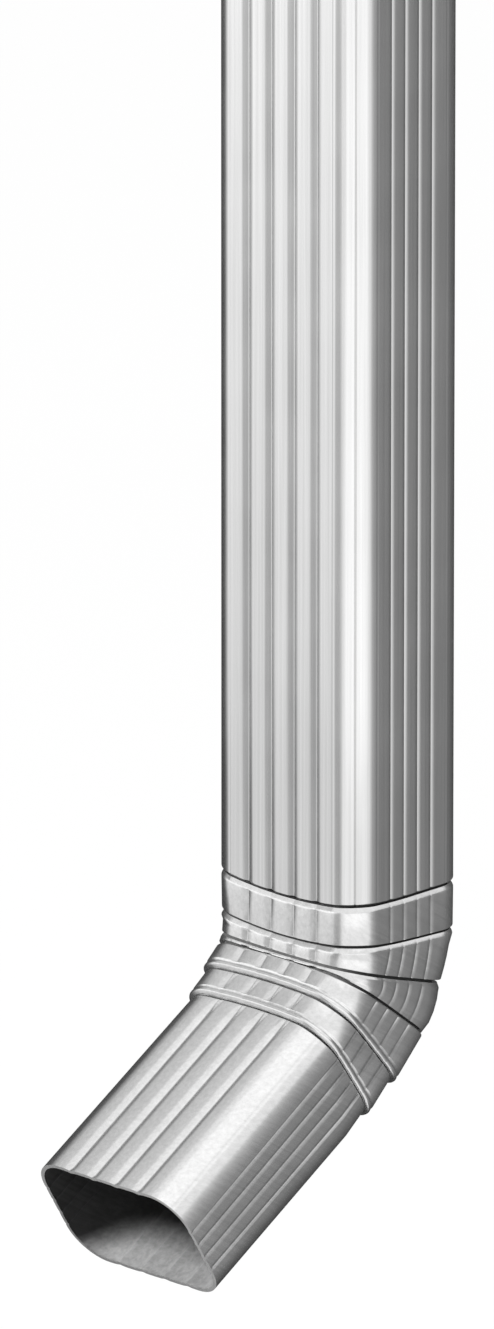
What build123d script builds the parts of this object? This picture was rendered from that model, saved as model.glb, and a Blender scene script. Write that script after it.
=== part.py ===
from build123d import *
import math
import os

# Corrugated rectangular downspout with a pleated elbow at its foot, in millimetres.
# X runs across the front face, the wall is at +Y and +Z is up. The origin is on the
# middle rib of the pipe's back, at the height where a strap would hold it to the wall.

# Rolled section, measured over the ribs
section_width = 108.0
section_depth = 84.0
corner_radius = 17.5
sheet = 0.8

# Grooves rolled between the ribs
groove_width = 6.5
groove_depth = 1.0  # in the pipe and at the outlet's mouth
band_groove_depth = 0.4  # in the elbow's bands, where pleating flattens the sheet
front_pitch = 16.5
side_pitch = 10.0
groove_margin = 0.5  # least flat left between the outermost groove and the corner

# Straight pipe
pipe_length = 540.0  # above the elbow
strap_height = 300.0  # of the origin above the elbow
swage_taper = 4.5  # height over which the pipe's foot is drawn in
seam_width = 6.0  # lock seam folded to the inside of the back
seam_layers = 2

# Slip joint between the pipe's foot and the elbow's collar
lip_curl = 0.8  # how far the collar's top edge is rolled in
slip_clearance = 0.3
seat_gap = 0.5  # between the pipe's end and the first pleat

# Pleated elbow, from the collar down; lengths are on the throat side
collar_height = 21.8
pleats = (  # turn in degrees, and how the sheet is folded there
    (5.5, "crease"),
    (22.5, "half crease"),  # gathers the heel and the sides only
    (19.0, "lap"),  # the band above goes inside the rim of the band below
    (6.0, "bead"),  # the band below comes out from under a bead
    (5.5, "bead"),
)
band_lands = (6.5, 1.8, 9.0, 12.1)  # plain sheet between one pleat's edge and the next
bead_height = 3.5  # sloping edge of a band
rim_height = 1.0  # steep edge of a band
crease_depth = 1.6
lap = 0.8
tuck_width = 0.9  # how far the tube steps in under a bead, at its sides
tuck_depth = 2.8  # and at its throat and heel
outlet_length = 130.0

axis_y = -section_depth / 2
elbow_top = -strap_height
swage = lip_curl + sheet + slip_clearance
bead_count = sum(fold == "bead" for turn, fold in pleats)
edge_above = {"crease": rim_height, "half crease": rim_height, "lap": 0, "bead": bead_height}
edge_below = {"crease": bead_height, "half crease": rim_height, "lap": rim_height, "bead": 0}


# Section of the tube after it has stepped in under some of the beads
def band_size(beads):
    return (section_width - 2 * beads * tuck_width, section_depth - 2 * beads * tuck_depth)


outlet_width, outlet_depth = band_size(bead_count)


# Groove centres on one face: as many as the narrowest section along the tube takes
def groove_centres(pitch, narrowest):
    room = narrowest - 2 * corner_radius - groove_width - 2 * groove_margin
    count = int(room // pitch) + 1
    return [(i - (count - 1) / 2) * pitch for i in range(count)]


front_grooves = groove_centres(front_pitch, outlet_width)
side_grooves = groove_centres(side_pitch, outlet_depth)


# One face of the outline, as points along its direction and height over the face
def face_points(flat, height, grooves, inset, groove):
    slope = math.atan2(groove, groove_width / 2)
    top = groove_width / 2 + inset * math.tan(slope / 2)
    bottom = height - groove - inset * (1 / math.cos(slope) - 1)
    points = [(-flat, height)]
    for centre in grooves:
        points.append((centre - top, height))
        points.append((centre, bottom))
        points.append((centre + top, height))
    points.append((flat, height))
    return points


# Closed corrugated outline, moved inwards by inset all round so that walls stay parallel.
# A mitred cut across a band is longer than the band is deep, by the factor stretch.
def outline(size, inset, groove, stretch):
    half_x, half_y = size[0] / 2 - corner_radius, size[1] / 2 - corner_radius
    bend = corner_radius - inset
    front = face_points(half_x, half_y + bend, front_grooves, inset, groove)
    side = face_points(half_y, half_x + bend, side_grooves, inset, groove)
    corner = (half_x + bend * math.sqrt(0.5), half_y + bend * math.sqrt(0.5))
    runs = [
        [(along, -height) for along, height in front],
        [(height, along) for along, height in side],
        [(-along, height) for along, height in front],
        [(-height, -along) for along, height in side],
    ]
    runs = [[(x, y * stretch) for x, y in run] for run in runs]
    signs = [(1, -1), (1, 1), (-1, 1), (-1, -1)]
    curve = Curve()
    for i, run in enumerate(runs):
        middle = (signs[i][0] * corner[0], signs[i][1] * corner[1] * stretch)
        curve += Polyline(*run)
        curve += ThreePointArc(run[-1], middle, runs[(i + 1) % 4][0])
    return make_face(curve)


def downwards(tilt):
    lean = math.radians(tilt)
    return Vector(0, -math.sin(lean), -math.cos(lean))


# Section across the tube where its cut is tipped forwards by tilt degrees
def section(centre, tilt, mitre, size, inset, groove):
    across = Plane(origin=centre, x_dir=(1, 0, 0), z_dir=-downwards(tilt))
    return across * outline(size, inset, groove, 1 / math.cos(math.radians(mitre)))


# Thin tube through a row of stations, each (centre, tilt, mitre, size, inset, groove)
def sheet_tube(stations):
    outside = loft([section(*station) for station in stations], ruled=True)
    first, last = stations[0], stations[-1]
    bore = [(first[0] - downwards(first[1]) * sheet, *first[1:])]
    bore += stations
    bore += [(last[0] + downwards(last[1]) * sheet, *last[1:])]
    inside = [section(*station[:4], station[4] + sheet, station[5]) for station in bore]
    return outside - loft(inside, ruled=True)


def make_pipe():
    full = (section_width, section_depth)
    foot = elbow_top - collar_height + edge_above[pleats[0][1]] + seat_gap
    top = elbow_top + pipe_length
    heights = [
        (top, 0),
        (elbow_top + swage_taper, 0),
        (elbow_top, swage),
        (foot, swage),
    ]
    tube = sheet_tube([(Vector(0, axis_y, z), 0, 0, full, inset, groove_depth) for z, inset in heights])
    seam_height = pipe_length - swage_taper
    seam = Box(seam_width, seam_layers * sheet, seam_height, align=(Align.CENTER, Align.MAX, Align.MAX))
    return tube + Pos(front_pitch, -sheet, top) * seam


# Distance from a pleat's throat to the tube's axis, measured along the band
def pleat_share(turn):
    return section_depth / 2 * math.tan(math.radians(turn / 2))


# Centre and tilt of each cut along the elbow: the middle of every pleat, then the mouth
def elbow_path():
    turns = [turn for turn, fold in pleats]
    folds = [fold for turn, fold in pleats]
    reaches = [collar_height]
    for land, fold, next_fold in zip(band_lands, folds, folds[1:]):
        reaches.append(edge_below[fold] + land + edge_above[next_fold])
    reaches.append(outlet_length)
    shares = [0, *(pleat_share(turn) for turn in turns), 0]
    centre = Vector(0, axis_y, elbow_top)
    tilt = 0
    path = []
    for reach, share, next_share, turn in zip(reaches, shares, shares[1:], [*turns, 0]):
        centre = centre + downwards(tilt) * (share + reach + next_share)
        path.append((centre, tilt))
        tilt += turn
    return path


def make_elbow():
    collar_top = Vector(0, axis_y, elbow_top)
    stations = [
        (collar_top, 0, 0, band_size(0), lip_curl, band_groove_depth),
        (collar_top + downwards(0) * bead_height, 0, 0, band_size(0), 0, band_groove_depth),
    ]
    beads = 0
    path = elbow_path()
    for (centre, tilt), (turn, fold) in zip(path, pleats):
        cut = (tilt + turn / 2, turn / 2)
        above = centre - downwards(tilt) * edge_above[fold]
        below = centre + downwards(tilt + turn) * edge_below[fold]
        if fold != "lap":
            stations.append((above, *cut, band_size(beads), 0, band_groove_depth))
        if fold == "crease":
            stations.append((centre, *cut, band_size(beads), crease_depth, band_groove_depth))
        if fold == "half crease":
            forwards = centre + downwards(cut[0] + 90) * crease_depth
            stations.append((forwards, *cut, band_size(beads), crease_depth, band_groove_depth))
        if fold == "lap":
            stations.append((above, *cut, band_size(beads), lap, band_groove_depth))
        if fold == "bead":
            beads += 1
        stations.append((below, *cut, band_size(beads), 0, band_groove_depth))
    mouth, tilt = path[-1]
    stations.append((mouth, tilt, 0, band_size(beads), 0, groove_depth))
    return sheet_tube(stations)


os.makedirs("parts", exist_ok=True)
export_step(make_pipe(), "parts/downspout_pipe.step")
export_step(make_elbow(), "parts/elbow.step")
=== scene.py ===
import bpy
import bmesh
import math
from collections import namedtuple
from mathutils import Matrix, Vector


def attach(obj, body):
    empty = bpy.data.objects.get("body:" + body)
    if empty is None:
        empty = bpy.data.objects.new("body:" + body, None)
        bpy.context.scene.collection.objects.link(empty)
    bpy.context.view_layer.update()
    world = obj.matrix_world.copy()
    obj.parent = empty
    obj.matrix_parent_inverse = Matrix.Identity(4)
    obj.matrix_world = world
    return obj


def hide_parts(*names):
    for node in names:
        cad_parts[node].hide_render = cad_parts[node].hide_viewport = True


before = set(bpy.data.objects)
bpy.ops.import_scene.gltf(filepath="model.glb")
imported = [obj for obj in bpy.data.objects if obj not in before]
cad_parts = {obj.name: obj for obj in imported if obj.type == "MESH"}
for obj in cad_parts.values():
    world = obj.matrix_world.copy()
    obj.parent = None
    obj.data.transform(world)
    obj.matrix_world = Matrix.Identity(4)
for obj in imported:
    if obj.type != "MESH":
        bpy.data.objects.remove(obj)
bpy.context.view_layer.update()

mm = 0.001
smoothAngle = 38  # degrees up to which neighbouring faces are shaded as one

# the rolled section shared by the pipe and the elbow, in millimetres
rolledSection = {
    "width": 108.0,
    "depth": 84.0,
    "cornerRadius": 17.5,
    "front": {"grooves": (-24.75, -8.25, 8.25, 24.75), "rib": 8.25, "half": 3.0, "deep": 1.2},
    "side": {"grooves": (-15.0, -5.0, 5.0, 15.0), "rib": 5.0, "half": 1.3, "deep": 0.75},
    "flatMargin": 0.6,  # plain sheet left outside the last groove
    "crownMargin": 0.2,
    "bottom": (0.12, 0.94),  # blunt bottom of a groove, as shares of its half width and its depth
    "ribTilt": 4.0,  # degrees at the edge of a rib, which is gently arched
    "ribSteps": 3,
    "rollLines": ((3, 0.3), (45, 1.0), (87, 0.3)),  # degrees round a corner, share of the line's depth
    "lineHalf": 2.0,
    "cornerPlaces": (8, 13, 18, 23, 28, 33, 38, 52, 57, 62, 67, 72, 77, 82),
}
wallAxis = -rolledSection["depth"] / 2  # the tube's axis, measured from the wall
jointHeight = -300.0  # top of the elbow's collar

# one cut across a tube: tipped forwards by tilt and mitred by mitre degrees, with the sheet moved in
# by inset; size is width, depth and corner radius, flute and line scale the grooves and the roll lines
tubeCut = namedtuple("tubeCut", "centre tilt mitre size inset flute line bow")


# sRGB hex to linear colour
def hexColour(text):
    channels = [int(text[i:i + 2], 16) / 255 for i in (1, 3, 5)]
    linear = [c / 12.92 if c <= 0.04045 else ((c + 0.055) / 1.055) ** 2.4 for c in channels]
    return (*linear, 1.0)


# one node with its settings, its socket values and its links
def addNode(tree, kind, settings=None, links=None):
    node = tree.nodes.new(kind)
    for key, value in (settings or {}).items():
        if isinstance(key, int) or key in node.inputs:
            node.inputs[key].default_value = value
        else:
            setattr(node, key, value)
    for key, source in (links or {}).items():
        tree.links.new(source, node.inputs[key])
    return node


# across one face: millimetres from its middle and how far the sheet lies below the face there;
# where corners are rounder the grooves draw together
def faceProfile(flat, face):
    steps = rolledSection["ribSteps"]
    slope = math.tan(math.radians(rolledSection["ribTilt"])) / 2
    squeeze = min(1.0, (flat - rolledSection["flatMargin"]) / (face["grooves"][-1] + face["half"]))
    crownLimit = flat - rolledSection["crownMargin"]
    bottomHalf, bottomDeep = rolledSection["bottom"]
    profile = {}
    for groove in face["grooves"]:
        middle = groove * squeeze
        for side in (-1, 1):
            edge = middle + side * face["half"] * squeeze
            crown = max(-crownLimit, min(crownLimit, middle + side * face["rib"] * squeeze))
            sag = abs(crown - edge) * slope
            for step in range(steps + 1):
                profile[round(crown + (edge - crown) * step / steps, 4)] = sag * (step / steps) ** 2
            profile[round(middle + side * face["half"] * bottomHalf, 4)] = face["deep"] * bottomDeep
        profile[middle] = face["deep"]
    return [(-flat, 0.0), *sorted(profile.items()), (flat, 0.0)]


# round one corner: degrees and share of the roll line depth there
def cornerProfile():
    profile = [(place, 0.0) for place in rolledSection["cornerPlaces"]]
    half = rolledSection["lineHalf"]
    for line, share in rolledSection["rollLines"]:
        profile += [(line - half, 0.0), (line, share), (line + half, 0.0)]
    return sorted(profile)


# points round the sheet at one cut, before it is placed
def sheetOutline(size, inset, flute, line):
    width, depth, radius = size
    flatX = width / 2 - radius
    flatY = depth / 2 - radius
    front = faceProfile(flatX, rolledSection["front"])
    side = faceProfile(flatY, rolledSection["side"])
    faces = (
        ((0, -1), (1, 0), flatX, depth / 2, front),
        ((1, 0), (0, 1), flatY, width / 2, side),
        ((0, 1), (-1, 0), flatX, depth / 2, front),
        ((-1, 0), (0, -1), flatY, width / 2, side),
    )
    points = []
    for normal, along, flat, height, profile in faces:
        for place, sag in profile:
            lift = height - inset - flute * sag
            points.append([along[k] * place + normal[k] * lift for k in (0, 1)])
        hub = [normal[k] * (height - radius) + along[k] * flat for k in (0, 1)]
        for degrees, share in cornerProfile():
            turn = math.radians(degrees)
            reach = radius - inset - line * share
            out = [normal[k] * math.cos(turn) + along[k] * math.sin(turn) for k in (0, 1)]
            points.append([hub[k] + out[k] * reach for k in (0, 1)])
    return points


def downwards(tilt):
    lean = math.radians(tilt)
    return Vector((0, -math.sin(lean), -math.cos(lean)))


# one ring of the tube in metres; bow lets the pressed edge sag in the middle of the front face and
# rise towards its corners
def ringAt(cut):
    cornerRise = 2.2
    width, depth = cut.size[:2]
    lean = math.radians(cut.tilt)
    depthWay = Vector((0, math.cos(lean), -math.sin(lean)))
    stretch = 1 / math.cos(math.radians(cut.mitre))
    ring = []
    for x, y in sheetOutline(cut.size, cut.inset, cut.flute, cut.line):
        sag = cut.bow * min(y, 0) ** 2 * (1 - cornerRise * (2 * x / width) ** 2) * (2 / depth) ** 2
        place = Vector((x, 0, 0)) + depthWay * (y * stretch) + downwards(cut.tilt) * sag
        ring.append((cut.centre + place) * mm)
    return ring


# a circle with a point for each place round the sheet is pulled out ring by ring, down the outside and
# back up the inside; the inside skips the small rounded edges
def rollTube(name, cuts, sheet, rim, skins):
    foldInset = 1.5  # an edge that is set in deeper than this is a fold
    # faces between two edges set in deeper than this get painted shade
    shadeInset = 1.4
    rings = [ringAt(cut) for cut in cuts]
    for cut in reversed(cuts):
        if cut.inset == 0 or cut.inset > foldInset or cut is cuts[0]:
            wall = rim if cut is cuts[-1] else sheet
            rings.append(ringAt(cut._replace(inset=cut.inset + wall)))
    bpy.ops.object.select_all(action="DESELECT")
    bpy.ops.mesh.primitive_circle_add(vertices=len(rings[0]), radius=rolledSection["depth"] / 2 * mm)
    tube = bpy.context.object
    tube.name = name
    tube.data.name = name
    for skin in skins:
        tube.data.materials.append(skin)
    bpy.ops.object.mode_set(mode="EDIT")
    bpy.ops.mesh.select_all(action="SELECT")
    mesh = bmesh.from_edit_mesh(tube.data)
    places = mesh.verts.layers.int.new("placeRound")
    for vert in mesh.verts:
        vert[places] = vert.index
        vert.co = rings[0][vert.index]
    for number, ring in enumerate(rings[1:], 1):
        bpy.ops.mesh.extrude_region_move()
        mesh = bmesh.from_edit_mesh(tube.data)
        places = mesh.verts.layers.int["placeRound"]
        skin = 0
        if number > len(cuts):  # the inside keeps its duller oxide skin
            skin = 1
        elif number < len(cuts) and min(cuts[number].inset, cuts[number - 1].inset) > shadeInset:
            skin = 2  # deep in a fold: painted shade, dark like the crease's shadow
        newEdge = [vert for vert in mesh.verts if vert.select]
        for vert in newEdge:
            vert.co = ring[vert[places]]
            for face in vert.link_faces:
                face.material_index = skin
    bmesh.update_edit_mesh(tube.data)
    bpy.ops.mesh.select_all(action="DESELECT")
    bpy.ops.mesh.select_non_manifold()
    bpy.ops.mesh.bridge_edge_loops()
    bpy.ops.mesh.select_all(action="SELECT")
    bpy.ops.mesh.normals_make_consistent(inside=False)
    bpy.ops.object.mode_set(mode="OBJECT")
    return tube


def finishPiece(piece, node):
    bpy.ops.object.select_all(action="DESELECT")
    piece.select_set(True)
    bpy.context.view_layer.objects.active = piece
    bpy.ops.object.shade_smooth_by_angle(angle=math.radians(smoothAngle))
    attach(piece, "root")
    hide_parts(node)
    print(piece.name, len(piece.data.vertices), "points")


# mill-finish aluminium sheet, cold rolled: bright satin grey, with fine streaks along the rolling
# direction and soft patches that are a little duller
rolledLook = {"light": "#EAEAEA", "dark": "#DADADA", "roughness": (0.19, 0.25), "metallic": 1.0}
# the same sheet inside the tube, dull dark grey under its oxide
oxideLook = {"light": "#6C6C6C", "dark": "#565656", "roughness": (0.55, 0.62), "metallic": 0.15}
# painted shade deep in the folds, almost black, standing in for the shadow in the creases
foldShadeLook = {"light": "#3A3A3A", "dark": "#2C2C2C", "roughness": (0.7, 0.8), "metallic": 0.0}


# streaks run along a tube that is tipped forwards by tilt; sizes are in millimetres
def rolledAluminium(name, tilt, finish):
    look = {
        "streakWidth": 2.2,
        "streakLength": 260.0,
        "patchSize": 45.0,
        "patchShare": 0.35,
        "toneRange": (0.45, 0.9),
        "patchRange": (0.3, 0.7),
        "bump": 0.05,
        "bumpDepth": 0.4,
    }
    material = bpy.data.materials.new(name)
    material.use_nodes = True
    tree = material.node_tree
    tree.nodes.clear()
    across = 1 / (look["streakWidth"] * mm)
    lengthwise = 1 / (look["streakLength"] * mm)
    place = addNode(tree, "ShaderNodeTexCoord")
    turned = addNode(tree, "ShaderNodeMapping", {"Rotation": (math.radians(-tilt), 0, 0)},
                     {"Vector": place.outputs["Object"]})
    drawn = addNode(tree, "ShaderNodeMapping", {"Scale": (across, across, lengthwise)},
                    {"Vector": turned.outputs["Vector"]})
    streaks = addNode(tree, "ShaderNodeTexNoise", {"Scale": 1.0, "Detail": 3.0, "Roughness": 0.6},
                      {"Vector": drawn.outputs["Vector"]})
    patches = addNode(tree, "ShaderNodeTexNoise", {"Scale": 1 / (look["patchSize"] * mm), "Detail": 2.0},
                      {"Vector": turned.outputs["Vector"]})
    mixed = addNode(tree, "ShaderNodeMath", {"operation": "MULTIPLY_ADD", 1: look["patchShare"]},
                    {0: patches.outputs["Fac"], 2: streaks.outputs["Fac"]})
    tone = addNode(tree, "ShaderNodeMapRange",
                   {"From Min": look["toneRange"][0], "From Max": look["toneRange"][1]},
                   {"Value": mixed.outputs["Value"]})
    colour = addNode(tree, "ShaderNodeMix", {"data_type": "RGBA"}, {"Factor": tone.outputs["Result"]})
    colour.inputs["A"].default_value = hexColour(finish["dark"])
    colour.inputs["B"].default_value = hexColour(finish["light"])
    gloss = addNode(tree, "ShaderNodeMapRange",
                    {"From Min": look["patchRange"][0], "From Max": look["patchRange"][1],
                     "To Min": finish["roughness"][0], "To Max": finish["roughness"][1]},
                    {"Value": patches.outputs["Fac"]})
    relief = addNode(tree, "ShaderNodeBump", {"Strength": look["bump"], "Distance": look["bumpDepth"] * mm},
                     {"Height": streaks.outputs["Fac"]})
    metal = addNode(tree, "ShaderNodeBsdfPrincipled", {"Metallic": finish["metallic"]},
                    {"Base Color": colour.outputs["Result"], "Roughness": gloss.outputs["Result"],
                     "Normal": relief.outputs["Normal"]})
    addNode(tree, "ShaderNodeOutputMaterial", {}, {"Surface": metal.outputs["BSDF"]})
    return material


# the outside, the inside and the painted shade of the deep folds of one tube
def tubeSkins(name, tilt):
    looks = (("rolledAluminium", rolledLook), ("oxideAluminium", oxideLook), ("paintedShadeFold", foldShadeLook))
    return [rolledAluminium(kind + name, tilt, look) for kind, look in looks]


# straight pipe: fluted length, drawn in at its foot to slip into the elbow's collar
pipeLook = {
    "top": 240.0,
    "plainAbove": 120.0,  # height over the collar from which the cuts are flat
    "foot": -320.3,
    "sheet": 0.8,
    "line": 0.6,
    "flute": 1.0,
    "step": ((2.5, 0), (2.1, 0.1), (1.9, 0.35), (1.8, 0.9), (1.7, 2.9)),  # height over the collar, inset
    "bow": 2.2,
}
fullSize = (rolledSection["width"], rolledSection["depth"], rolledSection["cornerRadius"])
pipeHeights = [(pipeLook["top"], 0.0, 0.0), (jointHeight + pipeLook["plainAbove"], 0.0, 0.0)]
pipeHeights += [(jointHeight + height, inset, pipeLook["bow"]) for height, inset in pipeLook["step"]]
pipeHeights += [(pipeLook["foot"], pipeLook["step"][-1][1], pipeLook["bow"])]
pipeCuts = []
for height, inset, bow in pipeHeights:
    centre = Vector((0, wallAxis, height))
    pipeCuts.append(tubeCut(centre, 0, 0, fullSize, inset, pipeLook["flute"], pipeLook["line"], bow))
pipe = rollTube("pipeSheet", pipeCuts, pipeLook["sheet"], pipeLook["sheet"], tubeSkins("Pipe", 0))
finishPiece(pipe, "downspout_pipe")

# lock seam, folded flat against the inside of the back
seamLook = {"size": (6.0, 1.6, 535.5), "across": 16.5, "fromWall": 1.7, "bevel": 0.4}
bpy.ops.object.select_all(action="DESELECT")
bpy.ops.mesh.primitive_cube_add(size=1)
seam = bpy.context.object
seam.name = "lockSeam"
seam.data.name = "lockSeam"
bpy.ops.object.mode_set(mode="EDIT")
bpy.ops.mesh.select_all(action="SELECT")
bpy.ops.transform.resize(value=[side * mm for side in seamLook["size"]])
bpy.ops.mesh.bevel(offset=seamLook["bevel"] * mm, segments=2, affect="EDGES")
seamHeight = pipeLook["top"] - seamLook["size"][2] / 2
bpy.ops.transform.translate(value=(seamLook["across"] * mm, -seamLook["fromWall"] * mm, seamHeight * mm))
bpy.ops.object.mode_set(mode="OBJECT")
seam.data.materials.append(bpy.data.materials["oxideAluminiumPipe"])
finishPiece(seam, "downspout_pipe")

# pleated elbow, from the collar down; an edge is (distance from the fold along the band, inset) pairs
slot = ((1.9, 0), (1.6, 0.12), (1.45, 0.45), (1.4, 2.6))
lapped = ((1.2, 0.8), (1.15, 2.6))
shoulder = ((0.1, 2.6), (0.15, 1.5), (0.9, 1.0), (1.8, 0.48), (2.5, 0.13), (3.1, 0))
smallShoulder = ((0.1, 2.6), (0.15, 1.1), (0.6, 0.75), (1.1, 0.3), (1.5, 0))
rawRim = ((0.1, 2.6), (0.15, 0.7), (0.45, 0.25), (0.9, 0.04), (1.3, 0))
bead = ((4.6, 0), (4.1, 0.2), (3.5, 0.65), (3.1, 0.7), (2.7, 0.42), (2.2, 0.1), (1.7, 0.01),
        (1.1, 0.04), (0.6, 0.3), (0.2, 0.9))
tucked = ((0.1, 1.9), (0.6, 1.7), (0.9, 0.6), (1.4, 0))
elbowLook = {
    "collar": 21.8,
    "bands": (11.0, 2.8, 13.5, 15.6),  # from fold to fold on the throat side
    "outlet": 129.9,
    "tuck": (0.9, 2.8),  # step in under a bead, at the sides and at the throat
    "bandFlute": 0.8,
    "foldFlute": 0.12,
    "outletCuts": ((0.12, 1.3), (0.98, 1.3), (1.0, 0.55)),  # share of the outlet's run, flute
    "mouthCorner": 21.0,
    "mouthFlare": 3.0,  # the outlet widens a little towards the mouth
    "line": 0.12,
    "sheet": 0.9,
    "rim": 2.2,
    "lip": ((0, 1.5), (0.9, 1.0), (1.8, 0.48), (2.5, 0.13), (3.1, 0)),
    "lipBow": 2.2,
    "bellyParts": (0.25, 0.5, 0.75),
    # heel is how far the sheet is gathered in there, belly how far the band above swells at its heel
    "folds": (
        {"turn": 5.5, "bow": 2.2, "corner": 18.0, "heel": 0.0, "above": slot, "below": shoulder},
        {"turn": 22.5, "bow": 0.6, "corner": 20.0, "heel": 5.0, "above": slot, "below": smallShoulder,
         "dies": True, "fan": 0.8, "belly": 0.8},
        {"turn": 19.0, "bow": -1.1, "corner": 20.0, "heel": 5.0, "above": lapped, "below": rawRim,
         "belly": 2.4},
        {"turn": 6.0, "bow": -1.5, "corner": 20.0, "heel": 4.0, "above": bead, "below": tucked, "steps": 1},
        {"turn": 5.5, "bow": -1.6, "corner": 20.0, "heel": 2.0, "above": bead, "below": tucked, "steps": 1},
    ),
}


# distance from a fold's throat to the tube's axis, measured along the band
def foldShare(turn):
    return rolledSection["depth"] / 2 * math.tan(math.radians(turn / 2))


# section of the tube after it has stepped in under some of the beads
def bandSize(beads, corner):
    sideTuck, throatTuck = elbowLook["tuck"]
    return (fullSize[0] - 2 * beads * sideTuck, fullSize[1] - 2 * beads * throatTuck, corner)


folds = elbowLook["folds"]
shares = [0, *(foldShare(fold["turn"]) for fold in folds), 0]
reaches = [elbowLook["collar"], *elbowLook["bands"], elbowLook["outlet"]]
centre = Vector((0, wallAxis, jointHeight))
elbowCuts = []


# forward shift of a ring whose heel alone is gathered in
def gatherShift(cut, mitre, heel):
    return downwards(cut + 90) * (heel / 2 / math.cos(math.radians(mitre)))


# a ring of the elbow; flutes flatten out where the sheet is folded
def addCut(middle, cut, mitre, size, inset, bow, heel):
    flute = elbowLook["foldFlute" if inset else "bandFlute"]
    gathered = (size[0], size[1] - heel, size[2])
    middle = middle + gatherShift(cut, mitre, heel)
    elbowCuts.append(tubeCut(middle, cut, mitre, gathered, inset, flute, elbowLook["line"], bow))


for place, inset in elbowLook["lip"]:
    addCut(centre + downwards(0) * place, 0, 0, fullSize, inset, elbowLook["lipBow"], 0)
tilt = 0.0
beads = 0
for i, fold in enumerate(folds):
    centre = centre + downwards(tilt) * (shares[i] + reaches[i] + shares[i + 1])
    mitre = fold["turn"] / 2
    cut = tilt + mitre
    slide = downwards(cut + 90) if fold.get("dies") else Vector((0, 0, 0))  # no fold on the throat side
    size = bandSize(beads, fold["corner"])
    if "belly" in fold:  # rings between the last edge and this fold's first
        last = elbowCuts[-1]
        edge = centre - downwards(tilt) * fold["above"][0][0] + gatherShift(cut, mitre, fold["heel"])
        for part in elbowLook["bellyParts"]:
            between = last.tilt + (cut - last.tilt) * part
            depth = last.size[1] + (size[1] - fold["heel"] - last.size[1]) * part
            bow = last.bow + (fold["bow"] - last.bow) * part
            swell = fold["belly"] * 4 * part * (1 - part)
            addCut(last.centre.lerp(edge, part), between, tilt - between, (size[0], depth, size[2]), 0, bow,
                   -swell)
    for place, inset in fold["above"]:
        addCut(centre - downwards(tilt) * place + slide * inset, cut, mitre, size, inset,
               fold["bow"], fold["heel"])
    tilt += fold["turn"]
    beads += fold.get("steps", 0)
    size = bandSize(beads, fold["corner"])
    for place, inset in fold["below"]:
        fan = fold.get("fan", 0.0) * place  # a gathered edge is wider at the heel than at the throat
        reach = place + size[1] / 2 * math.tan(math.radians(fan))
        addCut(centre + downwards(tilt) * reach + slide * inset, cut + fan, mitre - fan, size, inset,
               fold["bow"], fold["heel"])
outletRun = shares[-2] + reaches[-1]
outletWidth, outletDepth, outletCorner = size
for place, flute in elbowLook["outletCuts"]:
    middle = centre + downwards(tilt) * (outletRun * place)
    corner = outletCorner + (elbowLook["mouthCorner"] - outletCorner) * place
    size = (outletWidth + elbowLook["mouthFlare"] * place, outletDepth, corner)
    elbowCuts.append(tubeCut(middle, tilt, 0, size, 0, flute, elbowLook["line"], 0))
elbow = rollTube("elbowSheet", elbowCuts, elbowLook["sheet"], elbowLook["rim"], tubeSkins("Elbow", tilt))
finishPiece(elbow, "elbow")

# camera at the photo's angle: from the right front, a little above, through a very long lens;
# frameHeight, right and up are in millimetres
photoView = {
    "azimuth": 44.5,
    "elevation": 17.4,
    "frameHeight": 696.2,
    "right": -47.25,
    "up": 110.5,
    "distance": 12.0,
    "sensor": 36.0,
}
az = math.radians(photoView["azimuth"])
el = math.radians(photoView["elevation"])
towardsCamera = Vector((math.sin(az) * math.cos(el), -math.cos(az) * math.cos(el), math.sin(el)))
rightWay = Vector((math.cos(az), math.sin(az), 0))
upWay = Vector((-math.sin(az) * math.sin(el), math.cos(az) * math.sin(el), math.cos(el)))
aim = Vector((0, wallAxis, jointHeight)) + rightWay * photoView["right"] + upWay * photoView["up"]
aim = aim * mm
cameraData = bpy.data.cameras.new("photoCamera")
cameraData.sensor_width = photoView["sensor"]
cameraData.lens = photoView["sensor"] * photoView["distance"] / (photoView["frameHeight"] * mm)
cameraData.clip_end = 100.0
camera = bpy.data.objects.new("photoCamera", cameraData)
bpy.context.scene.collection.objects.link(camera)
camera.location = aim + towardsCamera * photoView["distance"]
camera.rotation_euler = (-towardsCamera).to_track_quat("-Z", "Y").to_euler()
bpy.context.scene.camera = camera
print("camera placed")

# pale floor well below the outlet, white world, grey cards and soft lamps round the object, in metres
studio = {
    "floorHeight": -0.80,
    "floorSize": 12.0,
    "floor": "#FAFAFA",
    "floorGlow": 0.985,  # the rest is matt and keeps the shadow
    "worldLight": 0.14,
    "middle": (0, -0.09, -0.15),
}
pureWhite = (1, 1, 1, 1)


# 1 for rays that show a surface to the camera or in a reflection, 0 for those that carry soft light
def whiteToTheEye(tree):
    rays = addNode(tree, "ShaderNodeLightPath")
    seen = addNode(tree, "ShaderNodeMath", {"operation": "MAXIMUM"},
                   {0: rays.outputs["Is Camera Ray"], 1: rays.outputs["Is Glossy Ray"]})
    return addNode(tree, "ShaderNodeMath", {"operation": "MAXIMUM"},
                   {0: seen.outputs["Value"], 1: rays.outputs["Is Transmission Ray"]})


world = bpy.data.worlds.new("whiteStudio")
bpy.context.scene.world = world
world.use_nodes = True
tree = world.node_tree
tree.nodes.clear()
seen = whiteToTheEye(tree)
dim = addNode(tree, "ShaderNodeBackground", {"Color": pureWhite, "Strength": studio["worldLight"]})
white = addNode(tree, "ShaderNodeBackground", {"Color": pureWhite, "Strength": 1.0})
both = addNode(tree, "ShaderNodeMixShader", {},
               {0: seen.outputs["Value"], 1: dim.outputs[0], 2: white.outputs[0]})
addNode(tree, "ShaderNodeOutputWorld", {}, {"Surface": both.outputs[0]})

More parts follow.
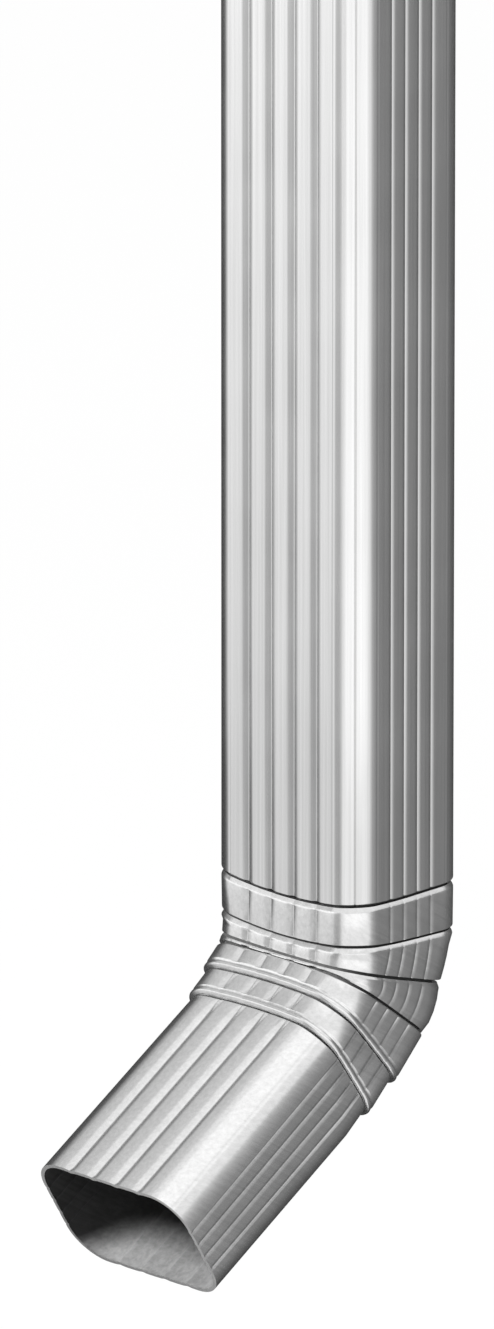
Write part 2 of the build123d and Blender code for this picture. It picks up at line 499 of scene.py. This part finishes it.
bpy.ops.object.select_all(action="DESELECT")
bpy.ops.mesh.primitive_plane_add(size=studio["floorSize"], location=(0, 0, studio["floorHeight"]))
floor = bpy.context.object
floor.name = "studioFloor"
paper = bpy.data.materials.new("paleFloor")
paper.use_nodes = True
tree = paper.node_tree
tree.nodes.clear()
seen = whiteToTheEye(tree)
share = addNode(tree, "ShaderNodeMath", {"operation": "MULTIPLY", 1: studio["floorGlow"]},
                {0: seen.outputs["Value"]})
matt = addNode(tree, "ShaderNodeBsdfDiffuse", {"Color": hexColour(studio["floor"])})
glow = addNode(tree, "ShaderNodeEmission", {"Color": pureWhite, "Strength": 1.0})
both = addNode(tree, "ShaderNodeMixShader", {},
               {0: share.outputs["Value"], 1: matt.outputs[0], 2: glow.outputs[0]})
addNode(tree, "ShaderNodeOutputMaterial", {}, {"Surface": both.outputs[0]})
floor.data.materials.append(paper)


# place at an angle round the object, from the camera's side towards its right
def aroundObject(angle, distance, height):
    turn = math.radians(angle)
    back = Vector((math.sin(az), -math.cos(az), 0))
    place = Vector(studio["middle"]) + (back * math.cos(turn) + rightWay * math.sin(turn)) * distance
    place.z = height
    return place


# cards that the camera doesn't see: columns are (angle round the object, brightness) and rows are
# (distance, height, share of the brightness); the mouth card is a dark floor for soft light only
cards = (
    {"name": "rightCard", "inGloss": True, "inMatt": False,
     "columns": ((52, 1.0), (58, 0.6), (66, 0.4), (78, 0.3), (91, 0.25), (105, 0.2), (125, 0.14),
                 (150, 0.08), (180, 0.06)),
     "rows": ((0.1, -0.79, 0.6), (0.6, -0.79, 1.0), (1.6, -0.79, 1.0), (1.6, 0.25, 1.1))},
    {"name": "leftCard", "inGloss": True, "inMatt": False,
     "columns": ((180, 0.06), (210, 0.06), (232, 0.08), (243, 0.22), (250, 0.66), (257, 0.84), (271, 0.84),
                 (283, 0.74), (292, 0.44), (310, 0.4), (317, 0.95)),
     "rows": ((0.1, -0.79, 0.6), (0.6, -0.79, 1.0), (1.6, -0.79, 1.0), (1.6, 0.25, 1.8))},
    {"name": "upperCard", "inGloss": True, "inMatt": False,
     "columns": ((185, 1.0), (225, 1.0), (265, 1.0)),
     "rows": ((1.2, 0.05, 0.2), (1.2, 0.2, 0.36), (1.2, 0.55, 0.62), (1.2, 1.85, 0.88))},
    {"name": "mouthCard", "inGloss": False, "inMatt": True,
     "columns": tuple((angle, 0.03) for angle in range(0, 361, 30)),
     "rows": ((0.05, -0.785, 1.0), (2.5, -0.785, 1.0))},
)
for look in cards:
    columns, rows = look["columns"], look["rows"]
    bpy.ops.object.select_all(action="DESELECT")
    bpy.ops.mesh.primitive_grid_add(x_subdivisions=len(columns) - 1, y_subdivisions=len(rows) - 1, size=2)
    card = bpy.context.object
    card.name = look["name"]
    shade = card.data.attributes.new("cardBrightness", "FLOAT", "POINT")
    for vert in card.data.vertices:
        angle, brightness = columns[round((vert.co.x + 1) / 2 * (len(columns) - 1))]
        distance, height, part = rows[round((vert.co.y + 1) / 2 * (len(rows) - 1))]
        vert.co = aroundObject(angle, distance, height)
        shade.data[vert.index].value = brightness * part
    tint = bpy.data.materials.new(look["name"])
    tint.use_nodes = True
    tree = tint.node_tree
    tree.nodes.clear()
    painted = addNode(tree, "ShaderNodeAttribute", {"attribute_name": "cardBrightness"})
    glow = addNode(tree, "ShaderNodeEmission", {"Color": pureWhite}, {"Strength": painted.outputs["Fac"]})
    addNode(tree, "ShaderNodeOutputMaterial", {}, {"Surface": glow.outputs[0]})
    card.data.materials.append(tint)
    card.visible_camera = False
    card.visible_glossy = look["inGloss"]
    card.visible_diffuse = look["inMatt"]
    card.visible_shadow = False

# soft lamps: place round the object, width and height of the panel, and whether reflections show it
lamps = (
    {"name": "frontLamp", "place": (6, 1.25, -0.42), "size": (2.0, 0.68), "brightness": 0.26,
     "inGloss": True},
    {"name": "topLamp", "place": (45, 0.5, 1.6), "size": (1.7, 2.0), "brightness": 0.24,
     "inGloss": True},
    {"name": "mouthLamp", "place": (-66, 2.0, 1.05), "size": (1.0, 0.7), "brightness": 125.0,
     "inGloss": False},
)
for look in lamps:
    width, tall = look["size"]
    data = bpy.data.lights.new(look["name"], "AREA")
    data.shape = "RECTANGLE"
    data.size = width
    data.size_y = tall
    data.energy = look["brightness"] * math.pi * width * tall
    lamp = bpy.data.objects.new(look["name"], data)
    bpy.context.scene.collection.objects.link(lamp)
    lamp.location = aroundObject(*look["place"])
    lamp.rotation_euler = (Vector(studio["middle"]) - lamp.location).to_track_quat("-Z", "Y").to_euler()
    lamp.visible_camera = False
    lamp.visible_glossy = look["inGloss"]
print("studio placed")

bpy.context.scene.view_settings.view_transform = "Standard"
